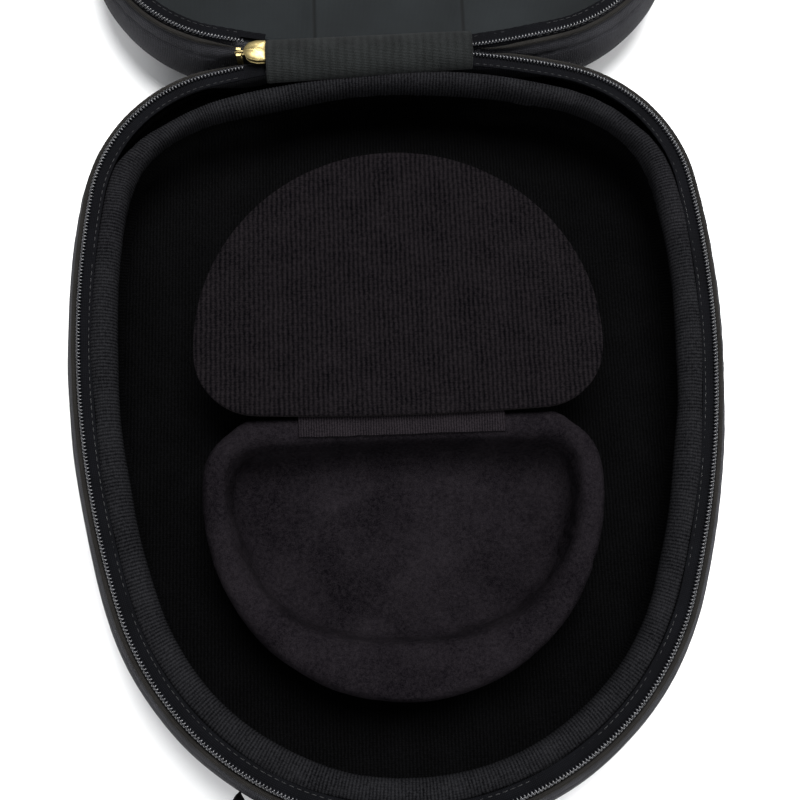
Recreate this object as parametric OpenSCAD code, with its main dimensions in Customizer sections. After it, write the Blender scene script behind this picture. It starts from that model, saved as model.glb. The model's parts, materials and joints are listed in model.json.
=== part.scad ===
// Zip-up carrying case for folding-flat headphones, lying open.
// Two pillowed half shells meet at a zipper line and share a hinge at the wide end.
// The base holds a D-shaped cable compartment with a turn-back flap.
// X is across the case, +Y is towards the hinge, Z is up, and the base rests on z = 0.

/* [Outline] */
// Radius of the wide end at the zipper line
rear_radius = 244; // [180:1:400]
// Radius of the corners beside the wide end
corner_radius = 49; // [35:1:60]
// Radius of the long tapering sides
side_radius = 292; // [200:1:500]
// Angle taken up by half of the wide end
rear_angle = 14; // [8:1:20]
// Angle at which a corner turns into a side
corner_angle = 82; // [74:1:86]
// Angle at which a side turns into the narrow end
side_angle = 108; // [100:1:120]

/* [Shells] */
// Height of one half shell up to the zipper plane
half_height = 33; // [26:0.5:40]
// How far the wall swells beyond the zipper line
bulge = 7.5; // [3:0.5:10]
// Height of the widest line of the wall
ridge_height = 15.5; // [12:0.5:20]
// Thickness of the outer fabric
cover_thickness = 1; // [0.6:0.1:1.6]
// Thickness of the moulded foam
foam_thickness = 3.8; // [2:0.1:6]
// Thickness of the inner fabric
lining_thickness = 1; // [0.6:0.1:1.6]
// Gap left between neighbouring layers
layer_gap = 0.45; // [0.1:0.05:0.6]

/* [Zipper] */
// Half width of a row of zipper teeth
teeth_half_width = 1.1; // [0.8:0.1:1.5]
// Gap from the zipper plane to the teeth
teeth_gap = 0.95; // [0.9:0.05:1.2]
// Thickness of a row of teeth
teeth_thickness = 0.75; // [0.6:0.05:1]
// Distance from the zipper line to the hinge line
hinge_setback = 1; // [0.8:0.1:2]
// Left end of the spine cover
spine_left = -40; // [-50:1:-30]
// Right end of the spine cover
spine_right = 28; // [20:1:40]
// Length of the slider
slider_length = 7.4; // [6:0.2:10]
// Width of the slider
slider_width = 6.4; // [5:0.2:6.6]
// Length of the pull tab
pull_length = 20; // [14:1:24]

/* [Compartment] */
// Y of the compartment's rear edge
island_rear = -2; // [-6:0.5:8]
// Height of the compartment's rim
island_top = 27.9; // [24:0.1:28.2]
// Width of the rim at the sides
rim_side = 8.5; // [6:0.5:11]
// Width of the rim at the front
rim_front = 18; // [12:0.5:20]
// Depth of the cavity below the rim
cavity_depth = 17.5; // [12:0.5:18]

/* [Flap] */
// Thickness of the flap's board
board_thickness = 1.2; // [0.8:0.1:1.6]
// Thickness of the fabric on each face
skin_thickness = 0.5; // [0.3:0.1:0.6]
// Half width of the flap's hinge strip
strip_half_width = 32; // [24:1:38]

/* [Handle] */
// X of the handle's left end
handle_left = -48; // [-60:1:-40]
// X of the handle's right end
handle_right = 29; // [20:1:55]
// Thickness of the strap
strap_thickness = 2.4; // [1.6:0.1:3]
// Width of the strap
strap_width = 16; // [10:1:18]
// How far the middle stands off the wall
handle_lift = 8; // [5:0.5:9]

/* [Hidden] */
front_radius = (rear_radius * sin(rear_angle)
    + corner_radius * (sin(corner_angle) - sin(rear_angle))
    + side_radius * (sin(side_angle) - sin(corner_angle))) / sin(side_angle);
case_outline = [
    [rear_radius, 0, rear_angle],
    [corner_radius, rear_angle, corner_angle],
    [side_radius, corner_angle, side_angle],
    [front_radius, side_angle, 180]
];
outline_length = -turn(case_outline, 180)[1];
zip_rear = outline_length / 2;
hinge_y = zip_rear + hinge_setback;
rear_face = hinge_y - 0.4;
zip_z = half_height;
swell_radius = (pow(bulge, 2) + pow(zip_z - ridge_height, 2)) / (2 * bulge);

// Depths of the layers, counted inward from the outer face
foam_depth = cover_thickness + layer_gap;
foam_inner = foam_depth + foam_thickness;
lining_depth = foam_inner + layer_gap;
lining_inner = lining_depth + lining_thickness;
cover_top = zip_z - 4.2;
foam_top = zip_z - 3.4;
lining_top = zip_z - 10.6;

// Outline of the compartment and of the flap
island_front_radius = (900 * sin(3) + 16 * (sin(88) - sin(3))
    + 78 * (sin(110) - sin(88))) / sin(110);
island_outline = [
    [900, 0, 3],
    [16, 3, 88],
    [78, 88, 110],
    [island_front_radius, 110, 180]
];
island_floor = lining_inner + layer_gap;
rim_bottom = island_top - 5.3;
cavity_floor = island_top - cavity_depth;
flap_axis_y = island_rear - 1.6;
flap_front_radius = (858 * sin(3) + 20 * (sin(86) - sin(3))
    + 62 * (sin(110) - sin(86))) / sin(110);
flap_outline = [
    [858, 0, 3],
    [20, 3, 86],
    [62, 86, 110],
    [flap_front_radius, 110, 180]
];
flap_axis_z = island_top + 2.3;
flap_skin_gap = 0.1;
strip_z = island_top + 0.2;

// Pull tab's dent in the soft rear walls
dent_x = -54;
dent_depth = 1.7;
dent_length = 12;
slider_x = -44.2;
slider_half_thickness = 1.5;
plate_thickness = 0.9;
web_thickness = 1;
lug_width = 1.1;
lug_length = 3.4;
pin_hole_radius = 0.55;
pin_radius = 0.5;
pin_x = slider_x - slider_length / 2 - 1.4;
pin_z = zip_z - 0.5;
pull_width = 3;
pull_thickness = 1.5;

cover_colour = [0.33, 0.34, 0.36];
foam_colour = [0.12, 0.12, 0.13];
lining_colour = [0.17, 0.18, 0.18];
knit_colour = [0.23, 0.21, 0.20];
felt_colour = [0.20, 0.18, 0.21];
tape_colour = [0.10, 0.10, 0.13];
brass_colour = [0.78, 0.62, 0.35];

// Point reached after turning through angle f along a chain of arcs from its rear middle
function span(r, a, b) = r * [sin(b) - sin(a), cos(b) - cos(a)];
function turn(chain, f) =
    f <= 0 ? [0, 0] :
    let (parts = [for (c = chain) if (f > c[1]) span(c[0], c[1], min(f, c[2]))])
    [sum_of(parts, 0), sum_of(parts, 1)];
function sum_of(list, axis, i = 0) =
    i >= len(list) ? 0 : list[i][axis] + sum_of(list, axis, i + 1);

// Point and outward direction of an outline at angle f, measured clockwise from +Y
function fold(f) = f > 180 ? 360 - f : f;
function side(f) = f > 180 ? -1 : 1;
function at(chain, f, rear) =
    let (p = turn(chain, fold(f)))
    [side(f) * p[0], rear + p[1]];
function out(f) = [sin(f), cos(f)];
function spread(a, b, n) = [for (i = [0 : n - 1]) a + (b - a) * i / n];
function case_angles() =
    let (half = concat(
        spread(0, rear_angle, 5),
        spread(rear_angle, corner_angle, 9),
        spread(corner_angle, side_angle, 8),
        spread(side_angle, 180, 9)))
    concat(half, [180], [for (i = [len(half) - 1 : -1 : 1]) 360 - half[i]]);
function island_angles() =
    let (half = concat(
        spread(0, 3, 1),
        spread(3, 88, 6),
        spread(88, 110, 3),
        spread(110, 180, 7)))
    concat(half, [180], [for (i = [len(half) - 1 : -1 : 0]) if (half[i] > 0) 360 - half[i]]);

// Angle along the wide end for a given X, and along the narrow end
function rear_turn(x) = (asin(abs(x) / rear_radius));
function front_turn(x) = 180 - asin(abs(x) / front_radius);

// Wall point at depth t and height z, swollen between the floor and the zipper plane
function swell(z) = bulge - swell_radius
    + sqrt(pow(swell_radius, 2) - pow(z - ridge_height, 2));
function upper_wall(t, top) =
    [for (s = [1, 0.66, 0.33]) let (z = ridge_height + (top - ridge_height) * s) [swell(z) - t, z]];
function lower_wall(t) =
    [for (a = [0, 24, 48, 70, 90])
        [bulge - ridge_height + (ridge_height - t) * cos(a), ridge_height - (ridge_height - t) * sin(a)]];
function wall(t, top) = concat(upper_wall(t, top), lower_wall(t));
function flipped(list) = [for (i = [len(list) - 1 : -1 : 0]) list[i]];

// Rear face of the shells, flat beside the hinge and dented around the pull tab
function rear_limit(x) = rear_face - dent_depth * exp(-pow((x - dent_x) / dent_length, 4));
function case_point(f, d, z, depth) =
    let (p = at(case_outline, f, zip_rear) + d * out(f))
    [p[0], min(p[1], rear_limit(p[0]) - depth), z];

// Faces of a skin made of closed or open loops of the same length
function loop_faces(loops, count, wrap_loops) =
    [for (j = [0 : loops - (wrap_loops ? 1 : 2)], i = [0 : count - 1])
        let (a = j * count + i, b = j * count + (i + 1) % count,
            c = ((j + 1) % loops) * count + i, d = ((j + 1) % loops) * count + (i + 1) % count)
        each [[a, d, b], [a, c, d]]];
function fan(first, count) = [for (i = [1 : count - 2]) [first, first + i, first + i + 1]];
function fan_back(first, count) = [for (i = [1 : count - 2]) [first, first + i + 1, first + i]];

// Bowl of the case: outer wall at depth a, inner wall at depth b, open at height top
module case_bowl(a, b, top) {
    angles = case_angles();
    outer = wall(a, top);
    inner = flipped(wall(b, top));
    n = len(angles);
    m = len(outer);
    outer_points = [for (q = outer, f = angles) case_point(f, q[0], q[1], a)];
    inner_points = [for (q = inner, f = angles) case_point(f, q[0], q[1], b)];
    polyhedron(
        points = concat(outer_points, inner_points),
        faces = concat(
            loop_faces(m, n, false),
            fan_back((m - 1) * n, n),
            fan(m * n, n),
            [for (q = loop_faces(m, n, false)) [q[0] + m * n, q[1] + m * n, q[2] + m * n]],
            [for (i = [0 : n - 1])
                let (p = (2 * m - 1) * n + i, q = (2 * m - 1) * n + (i + 1) % n, r = (i + 1) % n)
                each [[p, r, q], [p, i, r]]]),
        convexity = 6);
}

// Closed ring with a cross-section of [offset, height, depth of the layer] points
module case_ring(section) {
    angles = case_angles();
    n = len(angles);
    polyhedron(
        points = [for (q = section, f = angles) case_point(f, q[0], q[1], q[2])],
        faces = loop_faces(len(section), n, true),
        convexity = 6);
}
module case_wall(a, b, top) {
    case_ring(concat(
        [for (q = wall(a, top)) [q[0], q[1], a]],
        [for (q = flipped(wall(b, top))) [q[0], q[1], b]]));
}

// Flat pad that fills the floor inside the foam wall
module case_floor(a, b) {
    edge = bulge - ridge_height - layer_gap;
    translate([0, 0, a])
        linear_extrude(b - a)
            polygon([for (f = case_angles()) at(case_outline, f, zip_rear) + edge * out(f)]);
}

// Strip along the zipper from angle a round the narrow end to angle b
module case_strip(section, a, b) {
    angles = concat([a], [for (f = case_angles()) if (f > a + 1 && f < b - 1) f], [b]);
    n = len(angles);
    m = len(section);
    polyhedron(
        points = [for (f = angles, q = flipped(section))
            let (p = at(case_outline, f, zip_rear) + q[0] * out(f)) [p[0], p[1], q[1]]],
        faces = concat(
            loop_faces(n, m, false),
            fan(0, m),
            fan_back((n - 1) * m, m)),
        convexity = 6);
}

// The lid is the base's mirror image across the hinge line
module in_lid() {
    translate([0, 2 * hinge_y, 0])
        mirror([0, 1, 0])
            children();
}

// Point of the compartment, inset as a share u of the rim's width plus a fixed inset
function rim_width(f) = rim_side + (rim_front - rim_side) * pow(max(0, -cos(f)), 3);
function island_point(f, u, d, z) =
    let (p = at(island_outline, f, island_rear) - (u * rim_width(f) + d) * out(f))
    [p[0], p[1], z];
module island_ring(section) {
    angles = island_angles();
    n = len(angles);
    polyhedron(
        points = [for (q = section, f = angles) island_point(f, q[0], q[1], q[2])],
        faces = loop_faces(len(section), n, true),
        convexity = 4);
}
module island_bowl(outer, inner) {
    angles = island_angles();
    n = len(angles);
    m = len(outer);
    k = len(inner);
    list = concat(outer, inner);
    polyhedron(
        points = [for (q = list, f = angles) island_point(f, q[0], q[1], q[2])],
        faces = concat(
            loop_faces(m, n, false),
            fan_back((m - 1) * n, n),
            fan(m * n, n),
            [for (q = loop_faces(k, n, false)) [q[0] + m * n, q[1] + m * n, q[2] + m * n]],
            [for (i = [0 : n - 1])
                let (p = (m + k - 1) * n + i, q = (m + k - 1) * n + (i + 1) % n, r = (i + 1) % n)
                each [[p, r, q], [p, i, r]]]),
        convexity = 6);
}

// Sections of the soft trim, as [offset from the zipper line, height]
tape_section = [
    [-3.3, zip_z - 2.4],
    [-3.3, zip_z - 1.8],
    [1.2, zip_z - 1.8],
    [1.2, zip_z - 2.4]
];
teeth_section = [
    [-teeth_half_width, zip_z - teeth_gap - teeth_thickness],
    [-teeth_half_width, zip_z - teeth_gap],
    [teeth_half_width, zip_z - teeth_gap],
    [teeth_half_width, zip_z - teeth_gap - teeth_thickness]
];
piping_radius = 0.8;
piping_section = [
    for (a = [-30 : -60 : -330])
        [2.75 + piping_radius * cos(a), zip_z - 2.9 + piping_radius * sin(a)]
];
roll_section = [
    [-3, zip_z - 3],
    [-2, zip_z - 9.5],
    [-6, zip_z - 10.2],
    [-9.8, zip_z - 9.7],
    [-12, zip_z - 7.8],
    [-12.6, zip_z - 5],
    [-11.4, zip_z - 2.4],
    [-9, zip_z - 0.9],
    [-6.5, zip_z - 0.7],
    [-4.4, zip_z - 1.4],
    [-3.7, zip_z - 2.7]
];

strip_start = rear_turn(spine_right);
piping_start = rear_turn(48);
tape_end = 360 - rear_turn(50);
teeth_end = 360 - rear_turn(57);
piping_end = 360 - rear_turn(57);

module base_cover() {
    color(cover_colour)
        case_bowl(0, cover_thickness, cover_top);
}
module base_shell() {
    color(foam_colour)
        case_wall(foam_depth, foam_inner, foam_top);
}
module base_floor_pad() {
    color(foam_colour)
        case_floor(foam_depth, foam_inner);
}
module base_lining() {
    color(knit_colour)
        case_bowl(lining_depth, lining_inner, lining_top);
}
module base_roll() {
    color(knit_colour)
        case_ring([for (q = roll_section) [q[0], q[1], lining_depth]]);
}
module base_piping() {
    color(cover_colour)
        case_strip(piping_section, piping_start, piping_end);
}
module base_zip_tape() {
    color(tape_colour)
        case_strip(tape_section, strip_start, tape_end);
}
module base_zip_teeth() {
    color(tape_colour)
        case_strip(teeth_section, strip_start, teeth_end);
}

// Half of the inner cover over the hinge, lying on the base's rear rim
module spine_leaf() {
    turns = [for (i = [0 : 8]) spine_left + (spine_right - spine_left) * i / 8];
    edge = [for (x = turns)
        let (f = rear_turn(x), p = at(case_outline, f, zip_rear) - 3.1 * out(f))
        [x, p[1]]];
    translate([0, 0, zip_z - 1.4])
        linear_extrude(1.1)
            polygon(concat([[spine_right, rear_face], [spine_left, rear_face]], edge));
}
module spine_cover_base() {
    color(knit_colour)
        spine_leaf();
}
module spine_cover_lid() {
    color(knit_colour)
        in_lid()
            spine_leaf();
}

module compartment_block() {
    color(foam_colour)
        island_bowl(
            [
                [0, 0.4, rim_bottom - 0.2],
                [0, 0, rim_bottom - 6],
                [0, 0.6, island_floor + 2],
                [0, 2, island_floor]
            ],
            [
                [1, 5.2, cavity_floor - 1.2],
                [1, 2.6, cavity_floor + 1],
                [1, -0.4, rim_bottom - 0.2]
            ]);
}
module compartment_lining() {
    color(felt_colour)
        island_bowl(
            [
                [1, -0.2, rim_bottom - 0.2],
                [1, 2.8, cavity_floor + 1.1],
                [1, 5.4, cavity_floor - 1]
            ],
            [
                [1, 5.8, cavity_floor],
                [1, 3.8, cavity_floor + 1.6],
                [1, 0.8, rim_bottom - 0.2]
            ]);
}
module compartment_rim() {
    color(felt_colour)
        difference() {
            island_ring([
                [0.04, 0, rim_bottom],
                [0.96, 0, rim_bottom],
                [1, 0, rim_bottom + 2.4],
                [0.9, 0, island_top - 0.8],
                [0.66, 0, island_top],
                [0.34, 0, island_top],
                [0.1, 0, island_top - 0.8],
                [0, 0, rim_bottom + 2.4]
            ]);
            translate([0, island_rear + turn(island_outline, 180)[1] + 8, island_top + 4.4])
                sphere(r = 7.6, $fn = 24);
        }
}
module flap_hinge_strip() {
    color(knit_colour)
        translate([-strip_half_width, island_rear - 6.4, strip_z])
            cube([2 * strip_half_width, 5.8, 0.4]);
}

// Layer of the flap, a rounded D whose straight side lies at the hinge line
module flap_sheet(inset, z, thickness) {
    start = flap_axis_y + 0.6;
    translate([0, 0, z])
        linear_extrude(thickness)
            polygon([for (f = island_angles())
                let (p = at(flap_outline, f, 0) - inset * out(f))
                [p[0], start - p[1]]]);
}
module flap_board() {
    color(foam_colour)
        flap_sheet(0.4, flap_axis_z - board_thickness / 2, board_thickness);
}
module flap_face() {
    color(knit_colour)
        flap_sheet(0, flap_axis_z + board_thickness / 2 + flap_skin_gap, skin_thickness);
}
module flap_back() {
    color(felt_colour)
        flap_sheet(0, flap_axis_z - board_thickness / 2 - flap_skin_gap - skin_thickness, skin_thickness);
}

// Strap whose ends lie on the wall and whose middle stands clear of it
module carry_handle() {
    first = front_turn(handle_right);
    last = 360 - front_turn(handle_left);
    count = 18;
    low = ridge_height - strap_width / 2;
    lift = [for (i = [0 : count]) bulge + 0.3 + handle_lift * pow(sin(180 * i / count), 0.6)];
    color(knit_colour)
        polyhedron(
            points = [for (i = [0 : count])
                let (f = first + (last - first) * i / count, p = at(case_outline, f, zip_rear),
                    a = p + lift[i] * out(f), b = a + strap_thickness * out(f))
                each [
                    [a[0], a[1], low],
                    [b[0], b[1], low],
                    [b[0], b[1], low + strap_width],
                    [a[0], a[1], low + strap_width]
                ]],
            faces = concat(
                loop_faces(count + 1, 4, false),
                fan(0, 4),
                fan_back(count * 4, 4)),
            convexity = 4);
}

module lid_cover() {
    color(cover_colour)
        in_lid()
            case_bowl(0, cover_thickness, cover_top);
}
module lid_shell() {
    color(foam_colour)
        in_lid()
            case_wall(foam_depth, foam_inner, foam_top);
}
module lid_floor_pad() {
    color(foam_colour)
        in_lid()
            case_floor(foam_depth, foam_inner);
}
module lid_lining() {
    color(lining_colour)
        in_lid()
            case_bowl(lining_depth, lining_inner, foam_top - 0.6);
}
module lid_piping() {
    color(cover_colour)
        in_lid()
            case_strip(piping_section, piping_start, piping_end);
}
module lid_zip_tape() {
    color(tape_colour)
        in_lid()
            case_strip(tape_section, strip_start, tape_end);
}
module lid_zip_teeth() {
    color(tape_colour)
        in_lid()
            case_strip(teeth_section, strip_start, teeth_end);
}

// Slider: two plates joined by a web, with a lug at its left end that carries the pull
module slider_plate(z) {
    half = slider_length / 2;
    translate([slider_x, hinge_y, z])
        linear_extrude(plate_thickness)
            polygon([
                [half, -0.3 * slider_width],
                [half, 0.3 * slider_width],
                [0.1 * slider_length, 0.5 * slider_width],
                [-half, 0.42 * slider_width],
                [-half, -0.42 * slider_width],
                [0.1 * slider_length, -0.5 * slider_width]
            ]);
}
module slider_body() {
    color(brass_colour)
        difference() {
            union() {
                slider_plate(zip_z + slider_half_thickness - plate_thickness);
                slider_plate(zip_z - slider_half_thickness);
                translate([slider_x - 0.5, hinge_y - web_thickness / 2, zip_z - slider_half_thickness + 0.2])
                    cube([slider_length / 2, web_thickness, 2 * slider_half_thickness - 0.4]);
                translate([pin_x - 1.2, hinge_y - lug_width / 2, zip_z - slider_half_thickness])
                    cube([lug_length, lug_width, 2]);
            }
            translate([pin_x, hinge_y, pin_z])
                rotate([90, 0, 0])
                    cylinder(r = pin_hole_radius, h = 4, center = true, $fn = 32);
        }
}

// Slim pull hanging between the two rear walls, forked round the slider's lug
module pull_tab() {
    arm = (pull_width - lug_width - 0.3) / 2;
    color(brass_colour)
        translate([pin_x, hinge_y, pin_z]) {
            rotate([90, 0, 0])
                cylinder(r = pin_radius, h = pull_width, center = true, $fn = 32);
            for (y = [-pull_width / 2, pull_width / 2 - arm])
                translate([-pull_thickness / 2, y, -3])
                    cube([pull_thickness, arm, 3.7]);
            translate([-pull_thickness / 2, -pull_width / 2, -pull_length])
                cube([pull_thickness, pull_width, pull_length - 2.6]);
        }
}

base_cover();
base_shell();
base_floor_pad();
base_lining();
base_roll();
base_piping();
base_zip_tape();
base_zip_teeth();
spine_cover_base();
carry_handle();
compartment_block();
compartment_lining();
compartment_rim();
flap_hinge_strip();
flap_board();
flap_face();
flap_back();
lid_cover();
lid_shell();
lid_floor_pad();
lid_lining();
lid_piping();
lid_zip_tape();
lid_zip_teeth();
spine_cover_lid();
slider_body();
pull_tab();
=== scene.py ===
"""Looks of an open zip-up headphone case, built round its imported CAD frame."""
import json
import math

import bmesh
import bpy
import numpy as np
from mathutils import Matrix, Vector, noise


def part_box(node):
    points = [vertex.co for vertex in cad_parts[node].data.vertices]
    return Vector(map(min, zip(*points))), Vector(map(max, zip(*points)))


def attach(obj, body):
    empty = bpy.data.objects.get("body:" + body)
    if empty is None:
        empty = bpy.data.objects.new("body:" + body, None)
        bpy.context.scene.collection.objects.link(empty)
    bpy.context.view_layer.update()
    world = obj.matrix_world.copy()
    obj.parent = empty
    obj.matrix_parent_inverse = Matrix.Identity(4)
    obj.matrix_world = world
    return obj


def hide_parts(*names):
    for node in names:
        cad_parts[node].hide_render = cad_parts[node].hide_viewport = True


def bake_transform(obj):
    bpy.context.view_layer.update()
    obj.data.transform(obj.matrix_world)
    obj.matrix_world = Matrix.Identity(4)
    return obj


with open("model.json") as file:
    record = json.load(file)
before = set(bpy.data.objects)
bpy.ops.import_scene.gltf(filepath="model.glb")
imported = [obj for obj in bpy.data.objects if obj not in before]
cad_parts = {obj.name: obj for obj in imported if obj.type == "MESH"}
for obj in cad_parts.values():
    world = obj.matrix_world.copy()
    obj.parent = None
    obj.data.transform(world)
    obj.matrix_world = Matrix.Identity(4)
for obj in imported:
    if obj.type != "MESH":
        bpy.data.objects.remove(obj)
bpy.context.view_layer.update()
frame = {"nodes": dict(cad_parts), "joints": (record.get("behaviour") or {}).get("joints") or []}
MM = 0.001

# ------------------------------------------------------------------ frame facts
joints = {j["name"]: j for j in frame["joints"]}
HINGE_Y = joints["lid_hinge"]["pos_m"][1] / MM
RIM = joints["lid_hinge"]["pos_m"][2] / MM
FLAP_Y = joints["flap_hinge"]["pos_m"][1] / MM
HINGE_SETBACK = 1.0
REAR = HINGE_Y - HINGE_SETBACK
# How far the wall swells past the zipper line, the height of its widest line, and its radius
BULGE, RIDGE = 7.5, 15.5
SWELL = (BULGE ** 2 + (RIM - RIDGE) ** 2) / (2 * BULGE)


# ------------------------------------------------------------------ camera
def aim_camera(azimuth, elevation, roll, distance, lens, target):
    """Camera that looks at target (mm) from a distance (mm), with angles in degrees."""
    a, e = math.radians(azimuth), math.radians(elevation)
    back = Vector((math.sin(a) * math.cos(e), -math.cos(a) * math.cos(e), math.sin(e)))
    right = (-back).cross(Vector((0, 0, 1))).normalized()
    up = right.cross(-back)
    r = math.radians(roll)
    right, up = right * math.cos(r) + up * math.sin(r), up * math.cos(r) - right * math.sin(r)
    data = bpy.data.cameras.new("view")
    data.sensor_width = 36
    data.lens = lens
    data.clip_start, data.clip_end = 0.01, 20
    cam = bpy.data.objects.new("view", data)
    m = Matrix((right, up, back)).transposed().to_4x4()
    m.translation = Vector(target) * MM + back * distance * MM
    cam.matrix_world = m
    bpy.context.scene.collection.objects.link(cam)
    bpy.context.scene.camera = cam


aim_camera(azimuth=-8.08, elevation=76.25, roll=6.03, distance=342.3, lens=50.265,
           target=(-0.5, 1.1, 33))


# ------------------------------------------------------------------ outlines
class Outline:
    """Closed chain of arcs, sampled by distance s clockwise from its rear middle."""

    def __init__(self, arcs, rear):
        chain, x = [], 0.0
        for radius, a, b in arcs:
            if radius is None:
                radius = x / math.sin(math.radians(a))
            x += radius * (math.sin(math.radians(b)) - math.sin(math.radians(a)))
            chain.append((radius, math.radians(a), math.radians(b)))
        self.chain, self.rear = chain, rear
        self.half = sum(r * (b - a) for r, a, b in chain)
        self.length = 2 * self.half

    def angle(self, s):
        """How far the outward normal has turned from the rear, and the side it is on."""
        s = np.mod(np.asarray(s, float), self.length)
        mirror = s > self.half
        q = np.where(mirror, self.length - s, s)
        f, done = np.zeros_like(q), 0.0
        for r, a, b in self.chain:
            part = r * (b - a)
            inside = (q >= done - 1e-9)
            f = np.where(inside, a + (q - done) / r, f)
            done += part
        f = np.clip(f, 0, math.pi)
        return f, np.where(mirror, -1.0, 1.0)

    def at(self, s, d=0.0):
        """x and y of the points at distances s, moved d outwards, and the outward normal there."""
        f, side = self.angle(s)
        x, y = np.zeros_like(f), np.zeros_like(f)
        for r, a, b in self.chain:
            q = np.clip(f, a, b)
            x = x + r * (np.sin(q) - math.sin(a))
            y = y + r * (np.cos(q) - math.cos(a))
        nx, ny = np.sin(f), np.cos(f)
        return side * (x + d * nx), self.rear + y + d * ny, side * nx, ny

    def rear_s(self, x):
        """Distance of the point on the rear side at x."""
        s = self.chain[0][0] * math.asin(abs(x) / self.chain[0][0])
        return s if x >= 0 else self.length - s

    def front_s(self, x):
        """Distance of the point on the front side at x."""
        s = self.half - self.chain[-1][0] * math.asin(abs(x) / self.chain[-1][0])
        return s if x >= 0 else self.length - s


CASE = Outline([(244, 0, 14), (49, 14, 82), (292, 82, 108), (None, 108, 180)], REAR)
ISLAND = Outline([(900, 0, 3), (16, 3, 88), (78, 88, 110), (None, 110, 180)], FLAP_Y + 1.6)


def ease(t):
    """Smooth step from 0 to 1 as t goes from 0 to 1."""
    t = np.clip(t, 0, 1)
    return t * t * (3 - 2 * t)


def softmin(a, b, k=0.5):
    """The smaller of a and b, rounded off where they are within k."""
    h = np.clip(0.5 + 0.5 * (b - a) / k, 0, 1)
    return b * (1 - h) + a * h - k * h * (1 - h) * 0.5


def swell(z):
    """Outward offset of the wall from the zipper line at height z."""
    return BULGE - SWELL + np.sqrt(np.maximum(SWELL ** 2 - (z - RIDGE) ** 2, 0))


def rear_limit(x, depth):
    """Furthest y of a layer beside the hinge, with a hollow where the pull hangs."""
    return HINGE_Y - 0.42 - 1.75 * np.exp(-((x + 54) / 12) ** 4) - depth


def case_xyz(s, d, z, depth=0.0, lift=0.0):
    """Points of a layer of the case: offset d from the zipper line, flat beside the hinge."""
    x, y, _, _ = CASE.at(s, d)
    y = softmin(y, rear_limit(x, depth), 0.8)
    return np.stack([x, y, np.broadcast_to(z, x.shape) + lift], -1)


def wobble(p, size, amount, seed=0.0):
    """Smooth noise at points p in mm, in mm."""
    shape = p.shape[:-1]
    flat = p.reshape(-1, 3) / size + seed
    return np.array([noise.noise(Vector(q)) for q in flat]).reshape(shape) * amount


# ------------------------------------------------------------------ meshes
def mesh_object(name, verts, faces, uvs=None):
    """Closed smooth mesh from points in mm, with one uv per face corner, in mm."""
    me = bpy.data.meshes.new(name)
    me.from_pydata((np.asarray(verts, float) * MM).tolist(), [], faces)
    if uvs is not None:
        layer = me.uv_layers.new(name="UVMap")
        layer.data.foreach_set("uv", np.asarray(uvs, np.float32).ravel())
    me.polygons.foreach_set("use_smooth", [True] * len(me.polygons))
    face_outwards(me)
    o = bpy.data.objects.new(name, me)
    bpy.context.scene.collection.objects.link(o)
    return o


def face_outwards(me):
    bm = bmesh.new()
    bm.from_mesh(me)
    bmesh.ops.recalc_face_normals(bm, faces=bm.faces)
    bm.to_mesh(me)
    bm.free()


def grid_faces(n, m, wrap_n, wrap_m, offset=0):
    i = np.arange(n if wrap_n else n - 1)[:, None]
    j = np.arange(m if wrap_m else m - 1)[None, :]
    i2, j2 = (i + 1) % n, (j + 1) % m
    corners = np.broadcast_arrays(i * m + j, i2 * m + j, i2 * m + j2, i * m + j2)
    return np.stack(corners, -1).reshape(-1, 4) + offset


def grid_uvs(n, m, wrap_n, wrap_m, u, v):
    """The u and v of each row and column, with one entry more where they wrap."""
    i = np.arange(n if wrap_n else n - 1)[:, None]
    j = np.arange(m if wrap_m else m - 1)[None, :]
    ua, ub = u[i] + 0 * j, u[i + 1] + 0 * j
    va, vb = v[j] + 0 * i, v[j + 1] + 0 * i
    corners = [(ua, va), (ub, va), (ub, vb), (ua, vb)]
    return np.stack([np.stack(c, -1) for c in corners], 2).reshape(-1, 2)


def grid_object(name, grid, u, wrap_n=True, wrap_m=True):
    """Object from an (n, m, 3) grid of points in mm, capped where its rows don't wrap."""
    n, m = grid.shape[:2]
    closed = np.concatenate([grid, grid[:, :1]], 1) if wrap_m else grid
    steps = np.linalg.norm(np.diff(closed, axis=1), axis=2).mean(0)
    v = np.concatenate([[0], np.cumsum(steps)])
    faces = grid_faces(n, m, wrap_n, wrap_m).tolist()
    uvs = grid_uvs(n, m, wrap_n, wrap_m, np.asarray(u), v).tolist()
    if not wrap_n:
        for end in (0, n - 1):
            faces.append([end * m + k for k in range(m)])
            uvs += [[u[end] + 0.01 * v[k], v[k]] for k in range(m)]
    return mesh_object(name, grid.reshape(-1, 3), faces, uvs)


def stations(count, start=None, end=None):
    """Distances along the case's outline, and the same with a closing entry for uvs."""
    if start is None:
        s = np.arange(count) / count * CASE.length
        return s, np.append(s, CASE.length)
    s = np.linspace(start, end, count)
    return s, s


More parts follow.
